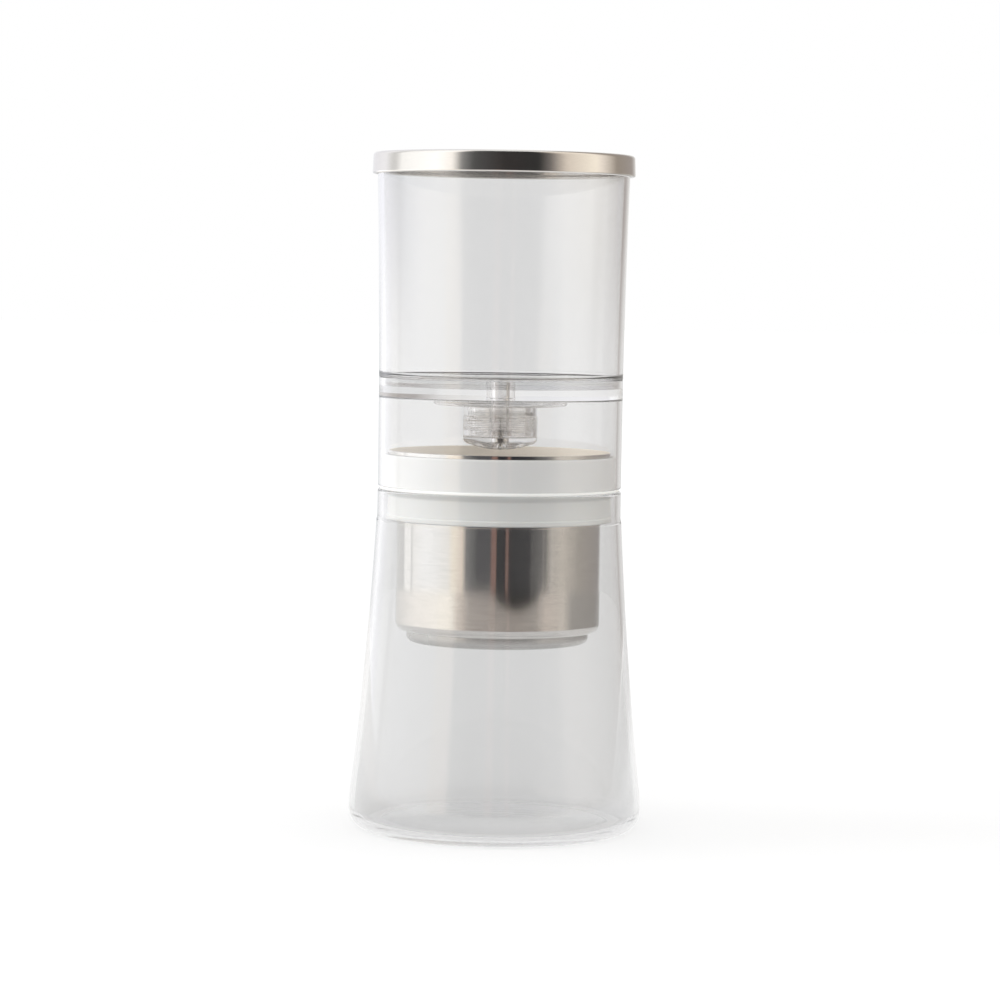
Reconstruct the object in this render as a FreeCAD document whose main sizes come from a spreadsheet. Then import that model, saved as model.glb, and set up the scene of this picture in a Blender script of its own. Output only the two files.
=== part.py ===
import FreeCAD, Part
import math
import os
import re
import Sketcher

# Slow-drip cold brew coffee maker, in millimetres, +Z up.
# The origin is the middle of the carafe's underside. From the table up: a flared glass
# carafe, a white collar that plugs its neck and holds a stepped steel coffee cup, and a
# clear water tank whose skirt stands on the collar's silicone flange. A needle valve
# under the tank's floor lets the water drip on to a perforated tray, and a pressed
# steel lid covers the tank. Everything is turned about Z, so a sub-part is an outline
# of (radius, height) points, measured from the sub-part's own lowest face.

DIMENSIONS = {
    # overall stack, heights above the table
    "total_height": 288.0,
    "rim_height": 145.4,          # top of the carafe's neck
    "floor_joint": 193.0,         # seam between water tank and skirt
    # carafe
    "base_radius": 62.56,
    "corner_radius": 8.0,
    "heel_draw_in": 0.52,         # of the wall between the corner and the heel
    "heel_height": 17.0,
    "flare_radius": 1827.0,
    "shoulder_radius": 52.35,
    "shoulder_height": 132.0,
    "neck_radius": 51.95,
    "neck_bottom": 134.0,
    "glass_wall": 2.2,
    "rim_round": 0.95,
    "foot_inner": 48.7,           # inner edge of the ring that stands on the table
    "push_up": 1.4,
    "glass_floor": 3.6,
    "inner_corner": 5.2,
    # silicone seal round the collar's plug
    "seal_radius": 47.7,
    "seal_inner": 45.95,
    "seal_depth": 13.1,           # below the carafe's rim
    "flange_radius": 51.0,
    "flange_thickness": 1.3,
    "lip_radius": 49.4,           # cone under the flange that centres it in the neck
    "lip_height": 10.6,
    "lip_slope": 1.6,
    "bead_radius": 48.1,
    "bead_height": 2.2,
    "key_radius": 46.7,           # groove that keys the seal to the plug
    "key_height": 4.2,
    "key_width": 1.6,
    "running_gap": 0.05,
    # collar
    "spigot_radius": 49.5,        # part of the collar inside the tank's skirt
    "spigot_height": 13.7,
    "spigot_bore": 47.5,
    "ledge_height": 1.3,          # shelf for the cup, above the flange
    "cup_bore": 43.8,
    "edge_bevel": 0.6,            # of moulded and pressed rims
    # steel coffee cup
    "cup_radius": 43.6,
    "cup_top_radius": 47.4,
    "cup_sheet": 0.5,
    "cup_bottom": 85.1,
    "cup_corner": 3.5,
    "cup_above_collar": 1.6,
    "filter_opening": 34.5,
    # filter under the cup
    "filter_radius": 38.8,
    "filter_depth": 4.8,
    "filter_sheet": 0.6,
    "filter_corner": 2.5,
    "filter_lip": 33.0,
    "mesh_radius": 36.2,
    "mesh_thickness": 0.3,
    "gasket_inner": 34.6,
    "gasket_outer": 36.5,
    # perforated spreader tray on the cup's shoulder
    "tray_radius": 45.8,
    "tray_depth": 5.5,
    "tray_sheet": 0.5,
    "tray_hole": 0.9,
    "tray_ring_step": 12.0,
    "tray_ring_count": 6,
    # clear water tank
    "tank_joint_radius": 52.05,
    "tank_top_radius": 53.87,
    "tank_wall": 2.3,
    "tank_floor": 4.0,
    "tank_corner": 2.0,
    "floor_fall": 0.5,
    "floor_rebate": 3.6,
    "rebate_radius": 49.6,
    "outlet_radius": 4.0,
    "seam_chamfer": 0.35,
    # clear skirt below the tank
    "skirt_radius": 51.9,
    "skirt_bore": 49.8,
    "web_thickness": 4.4,
    "web_round": 1.0,
    # valve body under the web
    "valve_flange": 28.6,
    "valve_flange_thickness": 3.6,
    "valve_flange_round": 1.2,
    "thread_radius": 13.2,
    "thread_bore": 11.0,
    "thread_depth": 12.5,
    "nipple_radius": 3.9,
    "nipple_height": 7.8,
    "water_bore": 2.6,
    "seat_tube_radius": 5.0,
    "seat_tube_shorter": 0.4,
    "seat_radius": 3.4,
    "seat_height": 3.0,
    "orifice_radius": 1.2,
    "gasket_ring_radius": 19.2,
    "gasket_ring_width": 2.2,
    "gasket_ring_depth": 1.2,
    "ring_section": 0.7,          # half the height of the sealing ring's groove
    "ring_height": 9.1,           # above the end of the threaded tube
    "ring_groove": 12.5,
    # valve knob
    "knob_radius": 15.9,
    "knob_neck_radius": 15.6,
    "knob_neck": 4.2,
    "knob_height": 18.6,
    "knob_corner": 2.5,
    "knob_bore": 13.9,
    "knob_land": 14.0,
    "knob_land_depth": 5.2,
    "knob_floor": 5.5,            # top of the knob's floor, above its lowest face
    "knob_gap": 0.3,              # under the valve's flange when it is shut
    "crown_height": 2.4,          # of the dome inside the rounded corner
    "flute_count": 8,
    "flute_radius": 3.2,
    "flute_circle": 13.4,
    "flute_height": 3.3,
    "port_count": 3,
    "port_radius": 0.9,
    "port_circle": 5.6,
    # valve needle
    "needle_head": 2.5,
    "needle_head_height": 2.4,
    "needle_radius": 1.15,
    "needle_shank": 2.0,
    "needle_taper": 3.6,
    "needle_tip": 0.3,
    # lid
    "lid_radius": 55.9,
    "lid_top_radius": 55.55,
    "lid_height": 9.0,
    "lid_sheet": 0.6,
    "lid_corner": 1.5,
    "hem_wall": 1.5,
    "hem_height": 1.6,
    "hem_bevel": 0.4,
}
ON_AXIS = 1e-6                    # a smaller radius or height counts as none
SAME_EDGE = 1e-3
TRAY_RINGS = (1, 2, 3)

doc = FreeCAD.newDocument("cold_brew_maker")
dims = doc.addObject("Spreadsheet::Sheet", "dims")
for row, (alias, number) in enumerate(DIMENSIONS.items(), start=1):
    dims.set(f"A{row}", alias)
    dims.set(f"B{row}", str(number))
    dims.setAlias(f"B{row}", alias)
doc.recompute()


def bound(text):
    """The expression that a property is bound to, with each alias read from the sheet."""
    return re.sub(r"[a-z_]+", lambda word: "dims." + word[0] if word[0] in DIMENSIONS else word[0], text)


def size(text):
    return float(dims.evalExpression(bound(text)))


def plane(body, role):
    return next(feature for feature in body.Origin.OriginFeatures if feature.Role == role)


def sketch_on(body, role, name):
    sketch = body.newObject("Sketcher::SketchObject", name)
    sketch.AttachmentSupport = [(plane(body, role), "")]
    sketch.MapMode = "FlatFace"
    return sketch


def fix(sketch, kind, number, text, name):
    """Adds a driving constraint and binds it to the sheet."""
    index = sketch.addConstraint(Sketcher.Constraint(kind, *number, size(text)))
    sketch.renameConstraint(index, name)
    sketch.setExpression(f"Constraints.{name}", bound(text))


def arc_between(start, end, bow, radius):
    """Arc that bows out of the material, or into it, on an anticlockwise outline."""
    chord = end - start
    reach = math.sqrt(radius ** 2 - (chord.Length / 2) ** 2)
    left = FreeCAD.Vector(-chord.y, chord.x, 0).normalize()
    centre = (start + end) * 0.5 + left * (reach if bow == "out" else -reach)
    angles = [math.atan2(point.y - centre.y, point.x - centre.x) for point in (start, end)]
    if bow == "in":
        angles.reverse()
    return Part.ArcOfCircle(Part.Circle(centre, FreeCAD.Vector(0, 0, 1), radius), *angles)


def turned(label, base, outline):
    """Body turned about Z. Each point is (radius, height), and one that starts an arc
    also says which way the arc bows and its radius."""
    body = doc.addObject("PartDesign::Body", label)
    body.Label = label
    body.setExpression("Placement.Base.z", bound(base))
    sketch = sketch_on(body, "XZ_Plane", label + "_outline")
    points = [FreeCAD.Vector(size(point[0]), size(point[1]), 0) for point in outline]
    ends = []
    for number, point in enumerate(outline):
        start, end = points[number], points[(number + 1) % len(points)]
        if len(point) == 2:
            sketch.addGeometry(Part.LineSegment(start, end))
            ends.append((1, 2))
        else:
            sketch.addGeometry(arc_between(start, end, point[2], size(point[3])))
            ends.append((1, 2) if point[2] == "out" else (2, 1))
            fix(sketch, "Radius", (number,), point[3], f"arc_{number}")
    for number, point in enumerate(outline):
        before = number - 1 if number else len(outline) - 1
        sketch.addConstraint(Sketcher.Constraint("Coincident", before, ends[before][1], number, ends[number][0]))
        corner = (-1, 1, number, ends[number][0])
        if points[number].x < ON_AXIS:
            sketch.addConstraint(Sketcher.Constraint("PointOnObject", number, ends[number][0], -2))
        else:
            fix(sketch, "DistanceX", corner, point[0], f"radius_{number}")
        if points[number].y < ON_AXIS:
            sketch.addConstraint(Sketcher.Constraint("PointOnObject", number, ends[number][0], -1))
        else:
            fix(sketch, "DistanceY", corner, point[1], f"height_{number}")
    turn = body.newObject("PartDesign::Revolution", label + "_turn")
    turn.Profile = sketch
    turn.ReferenceAxis = (sketch, ["V_Axis"])
    turn.Angle = 360
    doc.recompute()
    return body


def edged(body, kind, width, corners):
    """Rounds (Fillet) or bevels (Chamfer) the body's round edges at (radius, height)."""
    base = body.Tip
    names = []
    for radius, height in corners:
        found = [
            f"Edge{number}" for number, edge in enumerate(base.Shape.Edges, start=1)
            if not edge.Degenerated and isinstance(edge.Curve, Part.Circle)
            and abs(edge.Curve.Radius - size(radius)) < SAME_EDGE
            and abs(edge.Curve.Center.z - size(height)) < SAME_EDGE
        ]
        if not found:
            raise ValueError(f"{body.Label} has no edge at {radius}, {height}")
        names.extend(found)
    finish = body.newObject(f"PartDesign::{kind}", f"{body.Label}_{kind.lower()}")
    finish.Base = (base, names)
    finish.setExpression("Radius" if kind == "Fillet" else "Size", bound(width))
    doc.recompute()


def ring_of_cuts(body, name, radius, circle, depth, count):
    """Round cuts from the body's lowest face up, evenly spaced about Z."""
    sketch = sketch_on(body, "XY_Plane", name + "_circle")
    sketch.addGeometry(Part.Circle(FreeCAD.Vector(size(circle), 0, 0), FreeCAD.Vector(0, 0, 1), size(radius)))
    sketch.addConstraint(Sketcher.Constraint("PointOnObject", 0, 3, -1))
    fix(sketch, "DistanceX", (-1, 1, 0, 3), circle, "circle")
    fix(sketch, "Radius", (0,), radius, "radius")
    before = body.Shape.Volume
    cut = body.newObject("PartDesign::Pocket", name)
    cut.Profile = sketch
    cut.Reversed = True
    cut.setExpression("Length", bound(depth))
    doc.recompute()
    if not body.Shape.Volume < before:
        raise ValueError(f"{name} cuts nothing")
    pattern = body.newObject("PartDesign::PolarPattern", name + "_ring")
    pattern.Originals = [cut]
    pattern.Axis = (plane(body, "Z_Axis"), [""])
    pattern.Angle = 360
    pattern.setExpression("Occurrences", bound(count))
    body.Tip = pattern
    doc.recompute()


# Carafe: flared glass jug with a plain neck, a small shoulder below it and a pushed-up floor.
HEEL = "base_radius - heel_draw_in"
INNER = "base_radius - glass_wall"
carafe = turned("carafe", "0", [
    ("0", "push_up", "in", "(foot_inner ^ 2 + push_up ^ 2) / (2 * push_up)"),
    ("foot_inner", "0"),
    ("base_radius - corner_radius", "0", "out", "corner_radius"),
    ("base_radius", "corner_radius"),
    (HEEL, "heel_height", "in", "flare_radius"),
    ("shoulder_radius", "shoulder_height"),
    ("neck_radius", "neck_bottom"),
    ("neck_radius", "rim_height"),
    ("neck_radius - glass_wall", "rim_height"),
    ("neck_radius - glass_wall", "neck_bottom"),
    ("shoulder_radius - glass_wall", "shoulder_height", "out", "flare_radius"),
    (HEEL + " - glass_wall", "heel_height"),
    (INNER, "glass_floor + inner_corner", "in", "inner_corner"),
    (INNER + " - inner_corner", "glass_floor"),
    ("0", "glass_floor + push_up / 2"),
])
edged(carafe, "Fillet", "rim_round", [
    ("neck_radius", "rim_height"),
    ("neck_radius - glass_wall", "rim_height"),
])

# Neck seal: silicone sleeve round the collar's plug. Its flange lies between the glass
# rim and the tank's skirt, and the cone below the flange centres the plug in the neck.
SEAL_TOP = "seal_depth + flange_thickness"
neck_seal = turned("neck_seal", "rim_height - seal_depth", [
    ("seal_inner", "0"),
    ("bead_radius", "0"),
    ("bead_radius", "bead_height"),
    ("seal_radius", "bead_height + bead_radius - seal_radius"),
    ("seal_radius", "lip_height"),
    ("lip_radius", "lip_height + lip_slope"),
    ("lip_radius", "seal_depth"),
    ("flange_radius", "seal_depth"),
    ("flange_radius", SEAL_TOP),
    ("seal_inner", SEAL_TOP),
    ("seal_inner", "key_height + key_width"),
    ("key_radius", "key_height + key_width"),
    ("key_radius", "key_height"),
    ("seal_inner", "key_height"),
])

# Collar: white plug and spigot in one moulding, with the shelf that carries the cup.
PLUG = "seal_inner - running_gap"
LEDGE = "seal_depth + flange_thickness + ledge_height"
COLLAR_TOP = "seal_depth + flange_thickness + spigot_height"
collar = turned("collar", "rim_height - seal_depth", [
    ("cup_bore", "0"),
    (PLUG, "0"),
    (PLUG, "key_height + running_gap"),
    ("key_radius - running_gap", "key_height + running_gap"),
    ("key_radius - running_gap", "key_height + key_width - running_gap"),
    (PLUG, "key_height + key_width - running_gap"),
    (PLUG, SEAL_TOP),
    ("spigot_radius", SEAL_TOP),
    ("spigot_radius", COLLAR_TOP),
    ("spigot_bore", COLLAR_TOP),
    ("spigot_bore", LEDGE),
    ("cup_bore", LEDGE),
])
edged(collar, "Chamfer", "edge_bevel", [("spigot_radius", COLLAR_TOP), ("spigot_bore", COLLAR_TOP)])

# Coffee cup: drawn steel, wide above its shoulder, with an open, rounded bottom.
CUP_LEDGE = "rim_height + flange_thickness + ledge_height - cup_bottom"
CUP_TOP = "rim_height + flange_thickness + spigot_height + cup_above_collar - cup_bottom"
basket_cup = turned("basket_cup", "cup_bottom", [
    ("filter_opening", "0"),
    ("cup_radius - cup_corner", "0", "out", "cup_corner"),
    ("cup_radius", "cup_corner"),
    ("cup_radius", CUP_LEDGE),
    ("cup_top_radius", CUP_LEDGE),
    ("cup_top_radius", CUP_TOP),
    ("cup_top_radius - cup_sheet", CUP_TOP),
    ("cup_top_radius - cup_sheet", CUP_LEDGE + " + cup_sheet"),
    ("cup_radius - cup_sheet", CUP_LEDGE + " + cup_sheet"),
    ("cup_radius - cup_sheet", "cup_corner", "in", "cup_corner - cup_sheet"),
    ("cup_radius - cup_corner", "cup_sheet"),
    ("filter_opening", "cup_sheet"),
])
edged(basket_cup, "Chamfer", "edge_bevel", [("cup_top_radius", CUP_LEDGE)])

# Filter ring: pressed steel ring under the cup that carries the mesh on its lip.
filter_ring = turned("filter_ring", "cup_bottom - filter_depth", [
    ("filter_lip", "0"),
    ("filter_radius - filter_corner", "0", "out", "filter_corner"),
    ("filter_radius", "filter_corner"),
    ("filter_radius", "filter_depth"),
    ("filter_radius - filter_sheet", "filter_depth"),
    ("filter_radius - filter_sheet", "filter_corner", "in", "filter_corner - filter_sheet"),
    ("filter_radius - filter_corner", "filter_sheet"),
    ("filter_lip", "filter_sheet"),
])

# Filter mesh: etched steel disc on the ring's lip.
filter_mesh = turned("filter_mesh", "cup_bottom - filter_depth + filter_sheet", [
    ("0", "0"),
    ("mesh_radius", "0"),
    ("mesh_radius", "mesh_thickness"),
    ("0", "mesh_thickness"),
])

# Filter gasket: silicone ring that holds the mesh down, under the cup's floor.
GASKET_HEIGHT = "filter_depth - filter_sheet - mesh_thickness"
filter_gasket = turned("filter_gasket", "cup_bottom - filter_depth + filter_sheet + mesh_thickness", [
    ("gasket_inner", "0"),
    ("gasket_outer", "0"),
    ("gasket_outer", GASKET_HEIGHT),
    ("gasket_inner", GASKET_HEIGHT),
])

# Spreader tray: shallow perforated pan that shares the drips out over the coffee.
spreader_tray = turned("spreader_tray", "cup_bottom + cup_sheet + " + CUP_LEDGE, [
    ("0", "0"),
    ("tray_radius", "0"),
    ("tray_radius", "tray_depth"),
    ("tray_radius - tray_sheet", "tray_depth"),
    ("tray_radius - tray_sheet", "tray_sheet"),
    ("0", "tray_sheet"),
])
for ring in TRAY_RINGS:
    ring_of_cuts(
        spreader_tray, f"tray_holes_{ring}", "tray_hole", f"{ring} * tray_ring_step",
        "tray_sheet * 2", f"{ring} * tray_ring_count",
    )

# Water tank: clear tapered cup whose floor falls to the outlet and drops into the skirt.
TANK_BASE = "floor_joint - floor_rebate"
TANK_TOP = "total_height - lid_sheet - floor_joint + floor_rebate"
water_tank = turned("water_tank", TANK_BASE, [
    ("outlet_radius", "0"),
    ("rebate_radius", "0"),
    ("rebate_radius", "floor_rebate"),
    ("tank_joint_radius - seam_chamfer", "floor_rebate"),
    ("tank_joint_radius", "floor_rebate + seam_chamfer"),
    ("tank_top_radius", TANK_TOP + " - edge_bevel"),
    ("tank_top_radius - edge_bevel", TANK_TOP),
    ("tank_top_radius - tank_wall + edge_bevel", TANK_TOP),
    ("tank_top_radius - tank_wall", TANK_TOP + " - edge_bevel"),
    ("tank_joint_radius - tank_wall", "tank_floor + tank_corner", "in", "tank_corner"),
    ("tank_joint_radius - tank_wall - tank_corner", "tank_floor"),
    ("outlet_radius", "tank_floor - floor_fall"),
])

# Tank skirt: clear ring that stands on the collar's flange, with the web under the floor.
SKIRT_BASE = "rim_height + flange_thickness"
WEB_TOP = "floor_joint - floor_rebate - rim_height - flange_thickness"
SKIRT_TOP = "floor_joint - rim_height - flange_thickness"
tank_skirt = turned("tank_skirt", SKIRT_BASE, [
    ("skirt_bore", "0"),
    ("skirt_radius", "0"),
    ("tank_joint_radius", SKIRT_TOP),
    ("rebate_radius + 2 * running_gap", SKIRT_TOP),
    ("rebate_radius + 2 * running_gap", WEB_TOP),
    ("outlet_radius", WEB_TOP),
    ("outlet_radius", WEB_TOP + " - web_thickness"),
    ("skirt_bore", WEB_TOP + " - web_thickness"),
])
edged(tank_skirt, "Fillet", "web_round", [("skirt_bore", WEB_TOP + " - web_thickness")])
edged(tank_skirt, "Chamfer", "seam_chamfer", [("tank_joint_radius", SKIRT_TOP)])

# Valve body: flange under the web, a nipple up through both floors, and below it the
# tube that carries the knob's thread round the smaller tube of the valve seat.
BODY_BASE = "floor_joint - floor_rebate - web_thickness - valve_flange_thickness - thread_depth"
FLANGE_TOP = "thread_depth + valve_flange_thickness"
SEAT_TOP = "seat_tube_shorter + seat_height"
GROOVE = "gasket_ring_radius - gasket_ring_width / 2"
valve_body = turned("valve_body", BODY_BASE, [
    ("seat_radius", "seat_tube_shorter"),
    ("seat_tube_radius", "seat_tube_shorter"),
    ("seat_tube_radius", "thread_depth"),
    ("thread_bore", "thread_depth"),
    ("thread_bore", "0"),
    ("thread_radius", "0"),
    ("thread_radius", "ring_height - ring_section"),
    ("ring_groove", "ring_height - ring_section"),
    ("ring_groove", "ring_height + ring_section"),
    ("thread_radius", "ring_height + ring_section"),
    ("thread_radius", "thread_depth"),
    ("valve_flange", "thread_depth"),
    ("valve_flange", FLANGE_TOP),
    (GROOVE + " + gasket_ring_width", FLANGE_TOP),
    (GROOVE + " + gasket_ring_width", FLANGE_TOP + " - gasket_ring_depth"),
    (GROOVE, FLANGE_TOP + " - gasket_ring_depth"),
    (GROOVE, FLANGE_TOP),
    ("nipple_radius", FLANGE_TOP),
    ("nipple_radius", FLANGE_TOP + " + nipple_height"),
    ("water_bore", FLANGE_TOP + " + nipple_height"),
    ("water_bore", SEAT_TOP),
    ("seat_radius", SEAT_TOP),
])
edged(valve_body, "Fillet", "valve_flange_round", [("valve_flange", "thread_depth")])

# Valve gasket: silicone ring in the flange's groove, against the web.
valve_gasket = turned("valve_gasket", BODY_BASE + " + " + FLANGE_TOP + " - gasket_ring_depth", [
    (GROOVE + " + running_gap", "0"),
    (GROOVE + " + gasket_ring_width - running_gap", "0"),
    (GROOVE + " + gasket_ring_width - running_gap", "gasket_ring_depth"),
    (GROOVE + " + running_gap", "gasket_ring_depth"),
])

# Valve seat: silicone bush that the needle shuts.
valve_seat = turned("valve_seat", BODY_BASE + " + seat_tube_shorter", [
    ("orifice_radius", "0"),
    ("seat_radius - running_gap", "0"),
    ("seat_radius - running_gap", "seat_height"),
    ("orifice_radius", "seat_height"),
])

# Knob ring: square-cut silicone ring in the threaded tube's groove, wiped by the knob's bore.
knob_ring = turned("knob_ring", BODY_BASE + " + ring_height - ring_section + running_gap", [
    ("ring_groove + running_gap", "0"),
    ("knob_land - running_gap", "0"),
    ("knob_land - running_gap", "2 * (ring_section - running_gap)"),
    ("ring_groove + running_gap", "2 * (ring_section - running_gap)"),
])

# Valve knob: clear cap that screws on the threaded tube, with a domed crown that is fluted
# for the fingers, and drip ports.
CROWN = "knob_radius - knob_corner"
KNOB_BASE = BODY_BASE + " + thread_depth - knob_gap - knob_height"
POCKET = "knob_floor - needle_head_height"
valve_knob = turned("valve_knob", KNOB_BASE, [
    ("0", "0", "out", "((" + CROWN + ") ^ 2 + crown_height ^ 2) / (2 * crown_height)"),
    (CROWN, "crown_height", "out", "knob_corner"),
    ("knob_radius", "crown_height + knob_corner"),
    ("knob_radius", "knob_height - knob_neck - knob_radius + knob_neck_radius"),
    ("knob_neck_radius", "knob_height - knob_neck"),
    ("knob_neck_radius", "knob_height"),
    ("knob_land", "knob_height"),
    ("knob_land", "knob_height - knob_land_depth"),
    ("knob_bore", "knob_height - knob_land_depth - knob_land + knob_bore"),
    ("knob_bore", "knob_floor"),
    ("needle_head + running_gap", "knob_floor"),
    ("needle_head + running_gap", POCKET),
    ("0", POCKET),
])
ring_of_cuts(valve_knob, "crown_flutes", "flute_radius", "flute_circle", "flute_height", "flute_count")
ring_of_cuts(valve_knob, "drip_ports", "port_radius", "port_circle", "2 * knob_floor", "port_count")

# Valve needle: steel pin whose head sits in the knob's floor and whose taper shuts the seat.
valve_needle = turned("valve_needle", KNOB_BASE + " + " + POCKET, [
    ("0", "0"),
    ("needle_head", "0"),
    ("needle_head", "needle_head_height"),
    ("needle_radius", "needle_head_height"),
    ("needle_radius", "needle_head_height + needle_shank"),
    ("needle_tip", "needle_head_height + needle_shank + needle_taper"),
    ("0", "needle_head_height + needle_shank + needle_taper + needle_tip"),
])

# Lid: pressed steel cap with a hemmed lower edge, resting on the tank's rim.
lid_shell = turned("lid_shell", "total_height - lid_height", [
    ("lid_radius - hem_wall", "0"),
    ("lid_radius", "0"),
    ("lid_top_radius", "lid_height"),
    ("0", "lid_height"),
    ("0", "lid_height - lid_sheet"),
    ("lid_top_radius - lid_sheet", "lid_height - lid_sheet"),
    ("lid_radius - lid_sheet", "hem_height"),
    ("lid_radius - hem_wall", "hem_height"),
])
edged(lid_shell, "Fillet", "lid_corner", [("lid_top_radius", "lid_height")])
edged(lid_shell, "Chamfer", "hem_bevel", [("lid_radius", "0"), ("lid_radius - hem_wall", "0")])

SUB_PARTS = [
    carafe, neck_seal, collar, basket_cup, filter_ring, filter_mesh, filter_gasket, spreader_tray,
    water_tank, tank_skirt, valve_body, valve_gasket, valve_seat, knob_ring, valve_knob,
    valve_needle, lid_shell,
]

doc.recompute()
for thing in doc.Objects:
    if "Invalid" in thing.State or "Error" in thing.State:
        raise ValueError(f"{thing.Label} failed: {thing.State}")
os.makedirs("parts", exist_ok=True)
for part in SUB_PARTS:
    if part.Shape.isNull() or not part.Shape.isValid():
        raise ValueError(f"{part.Label} has no valid shape")
for part in SUB_PARTS:
    part.Shape.exportStep(f"parts/{part.Label}.step")
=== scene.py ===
import math

import bmesh
import bpy
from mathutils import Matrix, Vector

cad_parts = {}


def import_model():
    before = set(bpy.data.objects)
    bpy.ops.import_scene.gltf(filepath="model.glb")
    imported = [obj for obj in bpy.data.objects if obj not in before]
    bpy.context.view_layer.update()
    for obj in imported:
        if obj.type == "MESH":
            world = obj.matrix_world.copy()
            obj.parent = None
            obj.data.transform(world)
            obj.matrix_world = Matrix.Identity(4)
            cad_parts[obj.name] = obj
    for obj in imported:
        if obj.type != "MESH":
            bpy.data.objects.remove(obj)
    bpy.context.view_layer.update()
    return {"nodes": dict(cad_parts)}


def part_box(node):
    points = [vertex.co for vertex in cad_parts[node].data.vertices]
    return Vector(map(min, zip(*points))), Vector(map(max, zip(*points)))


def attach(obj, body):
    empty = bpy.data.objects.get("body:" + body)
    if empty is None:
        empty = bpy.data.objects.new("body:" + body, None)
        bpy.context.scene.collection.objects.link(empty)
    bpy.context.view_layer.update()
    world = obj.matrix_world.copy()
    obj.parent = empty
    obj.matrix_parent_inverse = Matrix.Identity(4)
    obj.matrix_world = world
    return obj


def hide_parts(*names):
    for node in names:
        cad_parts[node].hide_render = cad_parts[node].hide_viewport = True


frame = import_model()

# Looks of a slow-drip cold brew maker. The frame gives every piece its size and place;
# each turned piece is an outline of (radius, height) corners in millimetres, turned
# about Z, whose third number rounds the corner.

MM = 0.001


def low(node):
    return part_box(node)[0].z / MM


def high(node):
    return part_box(node)[1].z / MM


def reach(node):
    return max(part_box(node)[1].x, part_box(node)[1].y) / MM


# ---------------------------------------------------------------- mesh helpers

TURNS = 240                # steps round a large piece
SMALL_TURNS = 144          # steps round a small one
ROUND_STEPS = 6            # steps round an outline's corner
EDGE_HOLD = 0.12           # mm of flat kept true beside each rounded corner
ON_AXIS = 1e-4             # mm from the axis within which a point is on it
SMOOTH_ANGLE = math.radians(32)


def bowed(start, end, bow, steps):
    """Points between two corners on an arc that bows to the right of the way along."""
    (r0, z0), (r1, z1) = start, end
    chord = math.hypot(r1 - r0, z1 - z0)
    right = ((z1 - z0) / chord, -(r1 - r0) / chord)
    points = []
    for step in range(1, steps):
        along = step / steps
        out = bow * 4 * along * (1 - along)
        points.append((
            r0 + (r1 - r0) * along + right[0] * out,
            z0 + (z1 - z0) * along + right[1] * out,
        ))
    return points


def rounded(corners):
    """The outline with each corner's rounding worked out as an arc between its two sides."""
    outline = []
    count = len(corners)
    for number, corner in enumerate(corners):
        here = Vector(corner[:2])
        radius = corner[2] if len(corner) > 2 else 0
        if not radius:
            outline.append(here)
            continue
        back = Vector(corners[number - 1][:2]) - here
        ahead = Vector(corners[(number + 1) % count][:2]) - here
        half = back.angle(ahead) / 2
        run = radius / math.tan(half)
        inward = (back.normalized() + ahead.normalized()).normalized()
        centre = here + inward * (radius / math.sin(half))
        start = here + back.normalized() * run
        end = here + ahead.normalized() * run
        turn = (start - centre).angle_signed(end - centre)
        if run + EDGE_HOLD < back.length / 2:
            outline.append(start + back.normalized() * EDGE_HOLD)
        for step in range(ROUND_STEPS + 1):
            angle = -turn * step / ROUND_STEPS
            spoke = start - centre
            outline.append(centre + Vector((
                spoke.x * math.cos(angle) - spoke.y * math.sin(angle),
                spoke.x * math.sin(angle) + spoke.y * math.cos(angle),
            )))
        if run + EDGE_HOLD < ahead.length / 2:
            outline.append(end + ahead.normalized() * EDGE_HOLD)
    return outline


def turned_mesh(name, corners, turns=TURNS, warp=None):
    """Closed mesh of the outline turned about Z. The outline runs anticlockwise, from the
    bottom out and up, so the faces point outwards. warp moves a point (r, z, angle)."""
    mesh = bpy.data.meshes.new(name)
    shape = bmesh.new()
    rings = []
    for point in rounded(corners):
        if point.x < ON_AXIS:
            rings.append([shape.verts.new((0, 0, point.y * MM))])
            continue
        ring = []
        for step in range(turns):
            angle = 2 * math.pi * step / turns
            radius, height = warp(point.x, point.y, angle) if warp else point
            ring.append(shape.verts.new((
                radius * MM * math.cos(angle), radius * MM * math.sin(angle), height * MM,
            )))
        rings.append(ring)
    for lower, upper in zip(rings, rings[1:] + rings[:1]):
        if len(lower) == 1 and len(upper) == 1:
            continue
        for step in range(turns):
            after = (step + 1) % turns
            if len(lower) == 1:
                shape.faces.new((lower[0], upper[after], upper[step]))
            elif len(upper) == 1:
                shape.faces.new((lower[step], lower[after], upper[0]))
            else:
                shape.faces.new((lower[step], lower[after], upper[after], upper[step]))
    shape.to_mesh(mesh)
    shape.free()
    mesh.shade_smooth()
    mesh.set_sharp_from_angle(angle=SMOOTH_ANGLE)
    return mesh


def in_scene(name, data):
    """A new object that holds this data, linked to the scene."""
    thing = bpy.data.objects.new(name, data)
    bpy.context.scene.collection.objects.link(thing)
    return thing


def dress(mesh, finish):
    mesh.materials.clear()
    mesh.materials.append(finish)


def piece(name, mesh, body, finish, slot, *stands_for):
    """Puts a finished mesh in the scene, on its CAD body and in place of its CAD nodes."""
    thing = in_scene(name, mesh)
    dress(mesh, finish)
    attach(thing, body)
    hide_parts(*stands_for)


def turned_piece(name, corners, body, finish, slot, node, turns=TURNS):
    piece(name, turned_mesh(name, corners, turns), body, finish, slot, node)


# ---------------------------------------------------------------- node helpers

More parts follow.
